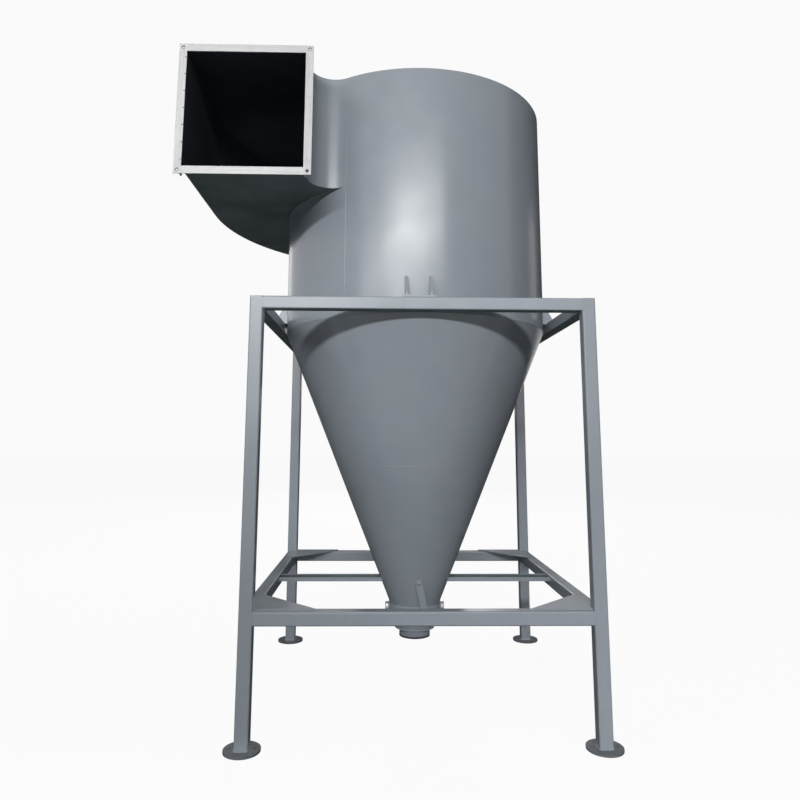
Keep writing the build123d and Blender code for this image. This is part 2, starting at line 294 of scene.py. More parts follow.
def lies_in_channel(tree, coordinates):
    """1 in the trough of the stays, up to just under their rims, where shade and dust are painted."""
    lo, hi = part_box("stay_left")
    skin, rim = 0.0005, 0.003
    place = add_node(tree, "ShaderNodeSeparateXYZ", {0: coordinates.outputs["Object"]})
    aside = add_node(tree, "ShaderNodeMath", {0: place.outputs["Y"]}, operation="ABSOLUTE")
    inner = compare(tree, aside, "LESS_THAN", hi.y - SHEET + skin)
    above = compare(tree, place.outputs["Z"], "GREATER_THAN", lo.z + SHEET / 2)
    below = compare(tree, place.outputs["Z"], "LESS_THAN", hi.z - rim)
    return both(tree, inner, both(tree, above, below))


def near_rim(tree, coordinates):
    """Fades from 1 at the discharge's lower rim to 0 above it, and 1 inside: where shade is painted."""
    place = add_node(tree, "ShaderNodeSeparateXYZ", {0: coordinates.outputs["Object"]})
    unshaded_above, shaded_below = SPIGOT_BOTTOM + 0.012, SPIGOT_BOTTOM + 0.003
    height = add_node(tree, "ShaderNodeMapRange", {0: place.outputs["Z"], 1: unshaded_above, 2: shaded_below})
    inward = looks_inward(tree, coordinates)
    return add_node(tree, "ShaderNodeMath", {0: height, 1: inward}, operation="MAXIMUM")


def enamel(name, mask=None, shade_tint=None, lightness=1.0):
    """Sprayed grey machine enamel.

    It gives a satin sheen with long soft highlights, a hue that drifts a little between
    blue and green from patch to patch, shallow upright waves from the sheet rolls, and a
    skin of fine dimples. Where the mask is 1 it is dull and cloudy in a darker colour, which is painted
    shade.
    Elsewhere it is made lighter or darker by the given factor, which on the beams, legs, lugs, clamp and
    strap is painted light.
    """
    paint = bpy.context.scene.cyclone_paint
    material, tree, shader = new_material(name)
    coordinates = add_node(tree, "ShaderNodeTexCoord")
    place = coordinates.outputs["Object"]
    plain_share, cloud_fineness = 0.3, 2.3
    wide = {"Vector": place, "Scale": 1 / paint.patch_size, "Detail": 3}
    patch = add_node(tree, "ShaderNodeTexNoise", wide)
    hues = {0: patch, 6: paint.grey_cool, 7: paint.grey_green}
    hue = add_node(tree, "ShaderNodeMix", hues, data_type="RGBA").outputs[2]
    greys = {0: plain_share, 6: hue, 7: paint.grey}
    body = add_node(tree, "ShaderNodeMix", greys, data_type="RGBA").outputs[2]
    fine = {"Vector": place, "Scale": cloud_fineness / paint.patch_size, "Detail": 5.0}
    cloud = {0: add_node(tree, "ShaderNodeTexNoise", fine), 1: NOISE_LOW, 2: NOISE_HIGH}
    tone = add_node(tree, "ShaderNodeMapRange", {**cloud, 3: 0.98 * lightness, 4: 1.02 * lightness})
    base = add_node(tree, "ShaderNodeVectorMath", {0: body, "Scale": tone}, operation="SCALE")
    smooth, rough = paint.roughness - 0.03, paint.roughness + 0.03
    roughness = add_node(tree, "ShaderNodeMapRange", {**cloud, 3: smooth, 4: rough})
    shader.inputs["Specular IOR Level"].default_value = paint.gloss
    # Where the mask is 1 the darker colour is painted shade; in the stays' trough it is shade and dust.
    if mask:
        matt = mask(tree, coordinates)
        shade_mottle = add_node(tree, "ShaderNodeMapRange", {0: patch, 1: NOISE_LOW, 2: NOISE_HIGH, 3: 0.8, 4: 1.25})
        shade_colour = add_node(tree, "ShaderNodeVectorMath", {0: shade_tint[:3], "Scale": shade_mottle}, operation="SCALE")
        base = add_node(tree, "ShaderNodeMix", {0: matt, 6: base, 7: shade_colour}, data_type="RGBA").outputs[2]
        roughness = add_node(tree, "ShaderNodeMix", {0: matt, 2: roughness, 3: paint.matt_roughness})
        gloss = add_node(tree, "ShaderNodeMix", {0: matt, 2: paint.gloss, 3: paint.matt_gloss})
        fill(tree, shader, {"Specular IOR Level": gloss})

    # The waves stand upright, so their pattern is stretched along Z. Real dimples are about
    # 2 mm wide and too fine to show, so they are drawn coarser.
    stretched = add_node(tree, "ShaderNodeMapping", {"Vector": place, "Scale": (1, 1, 0.06)})
    skin = {}
    for pattern, width, depth in (
        (stretched, paint.roll_width, paint.roll_depth),
        (place, paint.peel_size, paint.peel_depth),
    ):
        height = add_node(tree, "ShaderNodeTexNoise", {"Vector": pattern, "Scale": 1 / width, "Detail": 1})
        skin = {"Normal": add_node(tree, "ShaderNodeBump", {"Height": height, "Distance": depth, **skin})}
    fill(tree, shader, {"Base Color": base, "Roughness": roughness, **skin})
    return material


def streaked_zinc(name, along, tone=1.0):
    """Hot rolled steel angle with a dull zinc coat.

    It gives a pale, soft metal with lighter and darker streaks along the bar, and the
    frame's right-hand end is painted greyer as shade.
    """
    flange = bpy.context.scene.cyclone_flange
    material, tree, shader = new_material(name)
    place = add_node(tree, "ShaderNodeTexCoord").outputs["Object"]
    fine, drawn = 1 / flange.streak_width, 1 / flange.streak_length
    scale = tuple(drawn if axis == along else fine for axis in "xyz")
    spangle_share, spangle_fineness, ridge_depth = 0.3, 45.0, 0.0001
    all_dull, all_bright = 0.36, 0.62
    stretched = add_node(tree, "ShaderNodeMapping", {"Vector": place, "Scale": scale})
    streaks = add_node(tree, "ShaderNodeTexNoise", {"Vector": stretched, "Scale": 1, "Detail": 4})
    spangle = add_node(tree, "ShaderNodeTexNoise", {"Vector": place, "Scale": spangle_fineness, "Detail": 2})
    mixed = add_node(tree, "ShaderNodeMix", {0: spangle_share, 2: streaks, 3: spangle})
    spread = add_node(tree, "ShaderNodeMapRange", {0: mixed, 1: all_dull, 2: all_bright})
    zincs = {0: spread, 6: flange.zinc_dull, 7: flange.zinc}
    coat = add_node(tree, "ShaderNodeMix", zincs, data_type="RGBA").outputs[2]
    rough, smooth = flange.roughness + 0.06, flange.roughness - 0.04
    sheen = add_node(tree, "ShaderNodeMapRange", {0: mixed, 3: rough, 4: smooth})
    ridges = add_node(tree, "ShaderNodeBump", {"Height": streaks, "Distance": ridge_depth})

    # A dark smudge round each corner hole is painted shade.
    middle = ((SCROLL_FACE + NECK_FACE) / 2, 0, (FLOOR_TOP + ROOF_UNDER) / 2)
    folded = add_node(tree, "ShaderNodeVectorMath", {0: place, 1: middle}, operation="SUBTRACT")
    quarter = add_node(tree, "ShaderNodeVectorMath", {0: folded}, operation="ABSOLUTE")
    half_x, half_z = (NECK_FACE - SCROLL_FACE) / 2 - SHEET, (ROOF_UNDER - FLOOR_TOP) / 2
    hole = (half_x + flange.smudge_place, -MOUTH, half_z + flange.smudge_place)
    away = add_node(tree, "ShaderNodeVectorMath", {0: quarter, 1: hole}, operation="DISTANCE")
    edge, core = flange.smudge, flange.smudge * 0.55
    hole_shade_mask = add_node(tree, "ShaderNodeMapRange", {0: away.outputs["Value"], 1: edge, 2: core})
    coat = add_node(tree, "ShaderNodeMix", {0: hole_shade_mask, 6: coat, 7: flange.hole_shade}, data_type="RGBA").outputs[2]

    # The painted shade on the right-hand end starts at a ragged line, which the spangle shifts to and fro.
    to_and_fro, start, end, shaded_end_tone = 0.12, NECK_FACE - 0.06, NECK_FACE + 0.03, tone * 0.92
    ragged = {0: spangle, 1: to_and_fro, 2: add_node(tree, "ShaderNodeSeparateXYZ", {0: place}).outputs["X"]}
    drift = add_node(tree, "ShaderNodeMath", ragged, operation="MULTIPLY_ADD")
    shaded_end = add_node(tree, "ShaderNodeMapRange", {0: drift, 1: start, 2: end, 3: tone, 4: shaded_end_tone})
    coat = add_node(tree, "ShaderNodeVectorMath", {0: coat, "Scale": shaded_end}, operation="SCALE")
    # White bloom on the zinc leaves only a little of the metal's mirror.
    fill(tree, shader, {"Base Color": coat, "Roughness": sheen, "Normal": ridges, "Metallic": 0.1})
    return material


def fastener_metal(name, tint, roughness):
    """Plated fastener metal, bright where it is handled and clouded where it isn't."""
    material, tree, shader = new_material(name)
    place = add_node(tree, "ShaderNodeTexCoord").outputs["Object"]
    cloud = add_node(tree, "ShaderNodeTexNoise", {"Vector": place, "Scale": 260, "Detail": 3})
    tone = add_node(tree, "ShaderNodeMapRange", {0: cloud, 3: 0.78, 4: 1.12})
    coat = add_node(tree, "ShaderNodeVectorMath", {0: tint[:3], "Scale": tone}, operation="SCALE")
    rough, smooth = roughness + 0.1, roughness - 0.08
    sheen = add_node(tree, "ShaderNodeMapRange", {0: cloud, 3: rough, 4: smooth})
    fill(tree, shader, {"Base Color": coat, "Roughness": sheen, "Metallic": 1.0})
    return material


def paint_nodes(starts, material):
    """Give a finish to the construction nodes whose names start like this, or like one of these."""
    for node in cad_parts:
        if node.startswith(starts):
            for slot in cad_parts[node].material_slots:
                slot.material = material


def new_tree(name, sizes):
    """A geometry tree with one mesh input, one output and named sizes."""
    tree = bpy.data.node_groups.new(name, "GeometryNodeTree")
    for way in ("OUTPUT", "INPUT"):
        tree.interface.new_socket(name="Geometry", in_out=way, socket_type="NodeSocketGeometry")
    for size in sizes:
        tree.interface.new_socket(name=size, in_out="INPUT", socket_type="NodeSocketFloat")
    return tree, add_node(tree, "NodeGroupInput")


def close_tree(tree, geometry, material):
    """End a tree with real geometry in its material."""
    real = add_node(tree, "GeometryNodeRealizeInstances", {0: geometry})
    finish = add_node(tree, "GeometryNodeSetMaterial", {0: real, "Material": material})
    add_node(tree, "NodeGroupOutput", {0: finish})


def grow(name, guide, tree, sizes):
    """Run a tree on a guide mesh and keep the result as a plain piece that rides on the body."""
    carrier = new_object(name + "_guide", guide)
    modifier = carrier.modifiers.new("grow", "NODES")
    modifier.node_group = tree
    for item in tree.interface.items_tree:
        if item.in_out == "INPUT" and item.name in sizes:
            modifier[item.identifier] = float(sizes[item.name])
    graph = bpy.context.evaluated_depsgraph_get()
    graph.update()
    mesh = bpy.data.meshes.new_from_object(carrier.evaluated_get(graph), depsgraph=graph)
    bpy.data.objects.remove(carrier)
    bpy.data.meshes.remove(guide)
    mesh.name = name
    piece = new_object(name, mesh)
    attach(piece, "root")


def new_mesh(name, points, edges=(), faces=()):
    """A mesh made of points, edges and faces."""
    mesh = bpy.data.meshes.new(name)
    mesh.from_pydata([tuple(point) for point in points], edges, faces)
    return mesh


def line_guide(paths):
    """A mesh of edges from paths, each a list of points and whether it closes."""
    points, edges = [], []
    for path, closed in paths:
        first = len(points)
        points += path
        edges += [(i, i + 1) for i in range(first, len(points) - 1)]
        if closed:
            edges.append((len(points) - 1, first))
    return new_mesh("guide", points, edges)


def point_guide(places):
    """A mesh of points, each with the direction that its fastener faces."""
    guide = new_mesh("guide", [place for place, _ in places])
    facing = guide.attributes.new("facing", "FLOAT_VECTOR", "POINT")
    for item, (_, direction) in zip(facing.data, places):
        item.vector = direction
    return guide


def ring(radius, height, start=0.0, turn=360.0, steps=96):
    """Points on a level circle or arc round the cyclone's axis."""
    count = steps if turn == 360 else steps + 1
    angles = [radians(start + turn * i / steps) for i in range(count)]
    return [Vector((radius * cos(a), radius * sin(a), height)) for a in angles], turn == 360


def upright(foot, low, high):
    """A straight upright line at a place in plan, from one height to another."""
    return [foot + UP * low, foot + UP * high], False


def tube_loop(centre, across, up):
    """Points round a square tube's rounded outline, where it meets another face."""
    reach = (TUBE / 2 - TUBE_CORNER) * sqrt(2)
    points = []
    for quarter in range(4):
        start = quarter * pi / 2
        hub = centre + across * (reach * cos(start + pi / 4)) + up * (reach * sin(start + pi / 4))
        for step in range(4):
            angle = start + step * pi / 6
            points.append(hub + across * (TUBE_CORNER * cos(angle)) + up * (TUBE_CORNER * sin(angle)))
    return points, True


def beam_end(centre, outward):
    """Points along the inner face and the underside of a beam's end. The outside is ground flush."""
    flat, half = TUBE / 2 - TUBE_CORNER, TUBE / 2
    # The middle of a corner's round lies this far inside both faces.
    turn = half - TUBE_CORNER * 0.3
    steps = ((flat, -half), (-flat, -half), (-turn, -turn), (-half, -flat), (-half, flat))
    return [centre + outward * across + UP * rise for across, rise in steps], False


def bead_sizes(width):
    """Sizes for the weld tree, for a bead of the given width."""
    weld = bpy.context.scene.cyclone_weld
    return {"Width": width, "Ripple": weld.ripple, "Ripple depth": weld.ripple_depth}


def sum_of(tree, given, shares, extra=0.0):
    """A length made of shares of a tree's named sizes."""
    total = extra
    for name, part in shares.items():
        term = {0: given.outputs[name], 1: part, 2: total}
        total = add_node(tree, "ShaderNodeMath", term, operation="MULTIPLY_ADD")
    return total


def weld_tree(material):
    """Tree that draws a rippled bead along every line of its guide."""
    tree, given = new_tree("weld_bead", ("Width", "Ripple", "Ripple depth"))
    curve = add_node(tree, "GeometryNodeMeshToCurve", {0: given.outputs["Geometry"]})
    steps = {"Curve": curve, "Length": given.outputs["Ripple"]}
    stepped = add_node(tree, "GeometryNodeResampleCurve", steps, mode="LENGTH")
    index = add_node(tree, "GeometryNodeInputIndex")
    turn = add_node(tree, "ShaderNodeMath", {0: index, 1: 2.0}, operation="MODULO")
    every_other = {0: turn, 1: given.outputs["Ripple depth"]}
    waist = add_node(tree, "ShaderNodeMath", every_other, operation="MULTIPLY")
    scale = add_node(tree, "ShaderNodeMath", {0: 1.0, 1: waist}, operation="SUBTRACT")
    circle = {"Resolution": 8, "Radius": sum_of(tree, given, {"Width": 0.5})}
    profile = add_node(tree, "GeometryNodeCurvePrimitiveCircle", circle)
    bar = {"Curve": stepped, "Profile Curve": profile, "Scale": scale, "Fill Caps": True}
    bead = add_node(tree, "GeometryNodeCurveToMesh", bar)
    close_tree(tree, add_node(tree, "GeometryNodeSetShadeSmooth", {0: bead}), material)
    return tree


def placed(tree, given, geometry, material):
    """Set copies of a part on the guide's points, facing as the points say."""
    facing = add_node(tree, "GeometryNodeInputNamedAttribute", {"Name": "facing"}, data_type="FLOAT_VECTOR")
    turned = add_node(tree, "FunctionNodeAlignRotationToVector", {"Vector": facing}, axis="Z")
    copies = {"Points": given.outputs["Geometry"], "Instance": geometry, "Rotation": turned}
    close_tree(tree, add_node(tree, "GeometryNodeInstanceOnPoints", copies), material)


def dome_tree(material):
    """Tree for a domed head on a thin collar, at every point of its guide."""
    tree, given = new_tree("domed_head", ("Head", "Height"))
    dome_share, collar_share = 0.92, 0.35
    radius = sum_of(tree, given, {"Head": 0.5})
    ball = add_node(tree, "GeometryNodeMeshUVSphere", {"Segments": 16, "Rings": 8, "Radius": dome_share})
    squash = add_node(tree, "ShaderNodeCombineXYZ", {0: radius, 1: radius, 2: given.outputs["Height"]})
    disc = {"Vertices": 20, "Radius": radius, "Depth": sum_of(tree, given, {"Height": collar_share})}
    joined = add_node(tree, "GeometryNodeJoinGeometry")
    fill(tree, joined, {0: add_node(tree, "GeometryNodeTransform", {"Geometry": ball, "Scale": squash})})
    fill(tree, joined, {0: add_node(tree, "GeometryNodeMeshCylinder", disc)})
    placed(tree, given, joined, material)
    return tree


def bolt_tree(material):
    """Tree for a hexagon bolt with washers and nut, its head outside the guide's point."""
    tree, given = new_tree("hexagon_bolt", ("Flats", "Head", "Grip", "Washer", "Thickness"))
    # Shares of the head's height and width, and how far the thread stands out of the nut
    body, chamfer, nut_height, crown_width, thread_end = 0.82, 0.18, 1.15, 0.86, 0.004

    def size(extra=0.0, **shares):
        """A length made of shares of the bolt's sizes."""
        return sum_of(tree, given, shares, extra)

    corner, chamfered = size(Flats=1 / sqrt(3)), size(Flats=crown_width / sqrt(3))
    washer = {"Vertices": 24, "Radius": size(Washer=0.5), "Depth": size(Thickness=1)}
    head = {"Vertices": 6, "Radius": corner, "Depth": size(Head=body)}
    crown = {"Vertices": 6, "Radius Bottom": corner, "Radius Top": chamfered, "Depth": size(Head=chamfer)}
    nut = {"Vertices": 6, "Radius": corner, "Depth": size(Head=nut_height)}
    reach = size(thread_end, Grip=1, Thickness=2, Head=nut_height)
    shank = {"Vertices": 16, "Radius": size(Flats=0.3), "Depth": reach}
    shapes = (
        ("Cylinder", washer, size(Thickness=0.5)),
        ("Cylinder", head, size(Thickness=1, Head=body / 2)),
        ("Cone", crown, size(Thickness=1, Head=body)),
        ("Cylinder", washer, size(Grip=-1, Thickness=-0.5)),
        ("Cylinder", nut, size(Grip=-1, Thickness=-1, Head=-nut_height / 2)),
        ("Cylinder", shank, size(-thread_end / 2, Grip=-0.5, Head=-nut_height / 2)),
    )
    joined = add_node(tree, "GeometryNodeJoinGeometry")
    for kind, sizes, height in shapes:
        shape = add_node(tree, "GeometryNodeMesh" + kind, sizes)
        lift = add_node(tree, "ShaderNodeCombineXYZ", {2: height})
        moved = add_node(tree, "GeometryNodeTransform", {"Geometry": shape, "Translation": lift})
        fill(tree, joined, {0: moved})
    placed(tree, given, joined, material)
    return tree


class CYCLONE_OT_paint_vessel(bpy.types.Operator):
    """Paint the barrel, scroll, cone and discharge"""

    bl_idname = "cyclone.paint_vessel"
    bl_label = "Paint the vessel"

    def execute(self, context):
        paint = context.scene.cyclone_paint
        # The shell, neck and roof take the inside colour on their inner faces as painted shade.
        shell = enamel("grey_enamel_shell", looks_inward, paint.inside)
        paint_nodes(("barrel_", "cone_", "scroll_", "outlet_"), shell)
        paint_nodes("inlet_neck_wall", enamel("grey_enamel_neck", looks_off_neck, paint.inside))
        paint_nodes("roof_plate", enamel("grey_enamel_roof", looks_down, paint.inside))
        # The scroll floor's underside takes the underside colour as painted shade.
        paint_nodes("scroll_floor", enamel("scroll_floor_painted_shade", looks_down, paint.underside))
        # The discharge's lower rim and its inside are darkened as painted shade.
        paint_nodes("discharge_spigot", enamel("grey_enamel_discharge", near_rim, paint.inside))
        return {"FINISHED"}


class CYCLONE_OT_paint_stand(bpy.types.Operator):
    """Paint the stand, lugs, stays, clamp band and strap"""

    bl_idname = "cyclone.paint_stand"
    bl_label = "Paint the stand"

    def execute(self, context):
        underside = context.scene.cyclone_paint.underside
        # The beams, legs, lugs and clamp are painted a little lighter as painted light, and the beams'
        # undersides take the underside colour as painted shade.
        beams = enamel("grey_enamel_beams", looks_down, underside, lightness=1.08)
        paint_nodes(("leg_", "support_", "clamp_"), enamel("grey_enamel", lightness=1.04))
        paint_nodes(("top_beam_", "tie_beam_", "corner_plates"), beams)
        # The feet take the enamel at half its lightness.
        paint_nodes("foot_", enamel("grey_enamel_darker_feet", lightness=0.5))
        # The strap is painted lighter than the rest of the enamel as painted light.
        paint_nodes("collar_strap", enamel("grey_enamel_strap_lit", lightness=1.15))
        # The stays' trough takes the underside colour as painted shade and dust.
        paint_nodes("stay_", enamel("grey_enamel_trough_shade_and_dust", lies_in_channel, underside))
        return {"FINISHED"}


class CYCLONE_OT_coat_flange(bpy.types.Operator):
    """Give the inlet flange its zinc coat"""

    bl_idname = "cyclone.coat_flange"
    bl_label = "Coat the inlet flange"

    def execute(self, context):
        paint_nodes(("inlet_flange_left", "inlet_flange_right"), streaked_zinc("dull_zinc_upright", "z"))
        paint_nodes("inlet_flange_top", streaked_zinc("dull_zinc_top", "x"))
        # The bottom bar is painted lighter than the other bars as painted light.
        paint_nodes("inlet_flange_bottom", streaked_zinc("zinc_bottom_painted_light", "x", tone=1.07))
        return {"FINISHED"}


class CYCLONE_OT_weld_vessel(bpy.types.Operator):
    """Lay the weld beads on the vessel's seams"""

    bl_idname = "cyclone.weld_vessel"
    bl_label = "Weld the vessel"

    def execute(self, context):
        width = context.scene.cyclone_weld.vessel_width
        sunk = width * 0.3
        face = BARREL_RADIUS - sunk
        neck = atan2(NECK_CENTRE.y, NECK_CENTRE.x)
        # The floor's seam starts past the right side and ends short of the neck, in degrees.
        start, short = 6, 4
        paths = [
            ring(face, BARREL_BOTTOM),
            ring(cone_radius(CONE_SEAM) - sunk, CONE_SEAM),
            ring(cone_radius(CONE_BOTTOM) + sunk, CONE_BOTTOM),
            ring(BARREL_RADIUS, FLOOR_UNDER, start, 360 + degrees(neck) - start - short),
            ring(OUTLET_RADIUS, ROOF_TOP),
            upright(Vector((cos(neck), sin(neck), 0)) * face, BARREL_BOTTOM, ROOF_UNDER),
            upright(Vector((face, 0, 0)), BARREL_BOTTOM, ROOF_UNDER),
            upright(Vector((0, face, 0)), BARREL_BOTTOM, FLOOR_UNDER),
        ]
        for turn, lug in enumerate(("front", "right", "rear", "left"), start=-1):
            lo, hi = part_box("support_lug_" + lug)
            paths += lug_paths(turn * pi / 2, lo, hi)
        beads = weld_tree(enamel("grey_enamel_weld"))
        grow("vessel_welds", line_guide(paths), beads, bead_sizes(width))
        return {"FINISHED"}


def lug_paths(angle, lo, hi):
    """Fillet lines where the ribs and base of the lug at an angle meet the barrel."""
    outward = Vector((cos(angle), sin(angle), 0))
    across = outward.cross(UP)
    shift = ((lo + hi) / 2).dot(across)
    rib_place, half_rib, half_base, base_thickness = 0.0475, 0.005, 0.063, 0.008
    low = lo.z + base_thickness

    def on_barrel(aside):
        """The place on the barrel's face at a distance aside from the lug's middle, in plan."""
        offset = shift + aside
        return outward * sqrt(BARREL_RADIUS**2 - offset**2) + across * offset

    ribs = [rib + face for rib in (-rib_place, rib_place) for face in (-half_rib, half_rib)]
    base = [on_barrel((step / 4 - 1) * half_base) + UP * low for step in range(9)]
    return [upright(on_barrel(rib), low, hi.z) for rib in ribs] + [(base, False)]


def ground_welds(material):
    """Fill the round of each leg where a beam's outer face runs into it, ground flush."""
    steps = 6
    clear, corner = FRAME_HALF - TUBE, TUBE_CORNER
    outline = [(clear, FRAME_HALF)]
    for step in range(steps + 1):
        turn = pi / 2 * step / steps
        outline.append((clear + corner - corner * sin(turn), FRAME_HALF - corner + corner * cos(turn)))
    count = len(outline)
    points, faces = [], []
    for (x, y), top, swapped in product(CORNERS, (FRAME_TOP, TIE_TOP), (False, True)):
        first = len(points)
        for z in (top - TUBE + corner, top - corner):
            for along, across in outline:
                near, far = (across, along) if swapped else (along, across)
                points.append((x * near, y * far, z))
        faces.append(tuple(range(first, first + count)))
        faces.append(tuple(range(first + count, first + 2 * count)))
        for side in range(count):
            after = (side + 1) % count
            faces.append((first + side, first + after, first + count + after, first + count + side))
    mesh = new_mesh("ground_welds", points, faces=faces)
    work = bmesh.new()
    work.from_mesh(mesh)
    bmesh.ops.recalc_face_normals(work, faces=work.faces)
    work.to_mesh(mesh)
    work.free()
    mesh.materials.append(material)
    welds = new_object("ground_welds", mesh)
    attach(welds, "root")


class CYCLONE_OT_weld_stand(bpy.types.Operator):
    """Lay the fillet beads on the stand's joints"""

    bl_idname = "cyclone.weld_stand"
    bl_label = "Weld the stand"

    def execute(self, context):
        x_axis, y_axis = Vector((1, 0, 0)), Vector((0, 1, 0))
        leg, clear = FRAME_HALF - TUBE / 2, FRAME_HALF - TUBE
        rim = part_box("corner_plates")[1].x
        plate_reach, plate_half = 0.205, 0.0015
        paths = []
        for x, y in CORNERS:
            paths.append(tube_loop(Vector((x * leg, y * leg, FOOT_TOP)), x_axis, y_axis))
            for top in (FRAME_TOP, TIE_TOP):
                middle = top - TUBE / 2
                paths.append(beam_end(Vector((x * clear, y * leg, middle)), y_axis * y))
                paths.append(beam_end(Vector((x * leg, y * clear, middle)), x_axis * x))
            # The corner plate laps on the front or rear beam.
            ends = (clear - plate_reach, clear)
            paths.append(([Vector((x * end, y * rim, TIE_TOP + plate_half)) for end in ends], False))
        material = enamel("grey_enamel_stand_weld")
        ground_welds(material)
        sizes = bead_sizes(context.scene.cyclone_weld.stand_width)
        grow("stand_welds", line_guide(paths), weld_tree(material), sizes)
        return {"FINISHED"}


class CYCLONE_OT_rivet_flange(bpy.types.Operator):
    """Rivet the inlet flange to the duct"""

    bl_idname = "cyclone.rivet_flange"
    bl_label = "Rivet the inlet flange"

    def execute(self, context):
        fasteners = context.scene.cyclone_fasteners
        rivet_depth, closer_across = MOUTH + 0.0165, 0.94
        tack_depth, tack_start, tack_length = MOUTH + 0.0012, 1.6 * SHEET, 1.5 * SHEET
        left, right = SCROLL_FACE + SHEET, NECK_FACE - SHEET
        middle_x, middle_z = (left + right) / 2, (FLOOR_TOP + ROOF_UNDER) / 2
        inner, outer, tacks = [], [], []
        for step in range(-3, 4):
            rise = step * fasteners.rivet_pitch
            x, z = middle_x + rise * closer_across, middle_z + rise
            # Each rivet's place on the duct's inner face, and the way out through the wall
            for place, out in (
                ((left, rivet_depth, z), (-1, 0, 0)),
                ((right, rivet_depth, z), (1, 0, 0)),
                ((x, rivet_depth, FLOOR_TOP), (0, 0, -1)),
                ((x, rivet_depth, ROOF_UNDER), (0, 0, 1)),
            ):
                inner.append((place, -Vector(out)))
                outer.append((Vector(place) + Vector(out) * (2 * SHEET), out))
            start = Vector((left - tack_start, tack_depth, z))
            tacks.append(([start, start + Vector((tack_length, 0, 0))], False))
        sizes = {"Head": fasteners.rivet_head, "Height": fasteners.rivet_height}
        bright = fastener_metal("dull_aluminium_rivet", fasteners.rivet, 0.45)
        grow("flange_rivets_outside", point_guide(outer), dome_tree(bright), sizes)
        # The inner rivet heads are near-black as painted shade.
        shaded_heads = fastener_metal("rivet_in_painted_shade", fasteners.shade_and_tack_dark, 0.7)
        grow("flange_rivets_inside", point_guide(inner), dome_tree(shaded_heads), sizes)
        hole_shade = fastener_metal("burnt_weld_steel", fasteners.shade_and_tack_dark, 0.7)
        bead = {"Width": 0.0042, "Ripple": 0.002, "Ripple depth": 0.1}
        grow("flange_tack_welds", line_guide(tacks), weld_tree(hole_shade), bead)
        return {"FINISHED"}


class CYCLONE_OT_bolt_clamp(bpy.types.Operator):
    """Bolt the two halves of the clamp band together"""

    bl_idname = "cyclone.bolt_clamp"
    bl_label = "Bolt the clamp band"

    def execute(self, context):
        fasteners = context.scene.cyclone_fasteners
        grip, below_top = fasteners.bolt_grip, 0.0195
        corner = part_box("clamp_band_front")[1]
        place, height = corner.x - fasteners.bolt_setback, corner.z - below_top
        places = [((x * place, -grip / 2, height), (0, -1, 0)) for x in (-1, 1)]
        metal = fastener_metal("bright_zinc_bolt", fasteners.zinc, 0.26)
        sizes = {"Flats": fasteners.bolt_flats, "Head": fasteners.bolt_head, "Grip": grip}
        sizes.update({"Washer": fasteners.washer, "Thickness": fasteners.washer_thickness})
        grow("clamp_bolts", point_guide(places), bolt_tree(metal), sizes)
        return {"FINISHED"}


class CYCLONE_OT_screw_strap(bpy.types.Operator):
    """Set the round screw heads on the strap"""

    bl_idname = "cyclone.screw_strap"
    bl_label = "Screw the strap"

    def execute(self, context):
        fasteners = context.scene.cyclone_fasteners
        band_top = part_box("clamp_band_front")[1].z
        # The strap's ends: how far right of the middle, and how far over or under the band's top
        top_x, top_rise, tail_x, tail_drop = 0.007, 0.122, 0.039, 0.026
        cone, band = cone_radius(band_top + top_rise), cone_radius(band_top) + SHEET
        top = Vector((top_x, -sqrt(cone**2 - top_x**2), band_top + top_rise))
        tail = Vector((tail_x, -sqrt(band**2 - tail_x**2), band_top - tail_drop))
        along = (tail - top).normalized()
        out = along.cross(along.cross(Vector((0, 1, 0))).normalized())
        # The heads' places along the strap from each end, and the face they sit on
        from_top, from_tail, face = 0.014, 0.013, 0.0058
        places = [(top + along * from_top + out * face, out), (tail - along * from_tail + out * face, out)]
        heads = dome_tree(enamel("grey_enamel_screw"))
        sizes = {"Head": fasteners.screw_head, "Height": fasteners.screw_height}
        grow("strap_screws", point_guide(places), heads, sizes)
        return {"FINISHED"}


def lamp(name, place, aim, width, height, brightness, glossy=True, diffuse=True):
    """A rectangular lamp whose face has the given brightness and isn't seen itself."""
    data = bpy.data.lights.new(name, "AREA")
    data.shape = "RECTANGLE"
    data.size, data.size_y = width, height
    data.energy = brightness * pi * width * height
    made = new_object(name, data)
    made.location = place
    made.rotation_mode = "QUATERNION"
    made.rotation_quaternion = (Vector(aim) - Vector(place)).to_track_quat("-Z", "Y")
    made.visible_camera, made.visible_glossy, made.visible_diffuse = False, glossy, diffuse
    return made


def paper_shader(tree, lit, paper):
    """Mix of a lit surface and plain paper white, the white for the camera and for reflections."""
    path = add_node(tree, "ShaderNodeLightPath")
    seen = path.outputs["Is Camera Ray"]
    for ray in ("Is Glossy Ray", "Is Transmission Ray"):
        seen = add_node(tree, "ShaderNodeMath", {0: seen, 1: path.outputs[ray]}, operation="MAXIMUM")
    return add_node(tree, "ShaderNodeMixShader", {0: seen, 1: lit, 2: paper})


def flat_cards(name, cards, material):
    """An object of flat cards, each a list of its corners."""
    points = [corner for card in cards for corner in card]
    numbers = iter(range(len(points)))
    mesh = new_mesh(name, points, faces=[tuple(next(numbers) for _ in card) for card in cards])
    mesh.materials.append(material)
    return new_object(name, mesh)


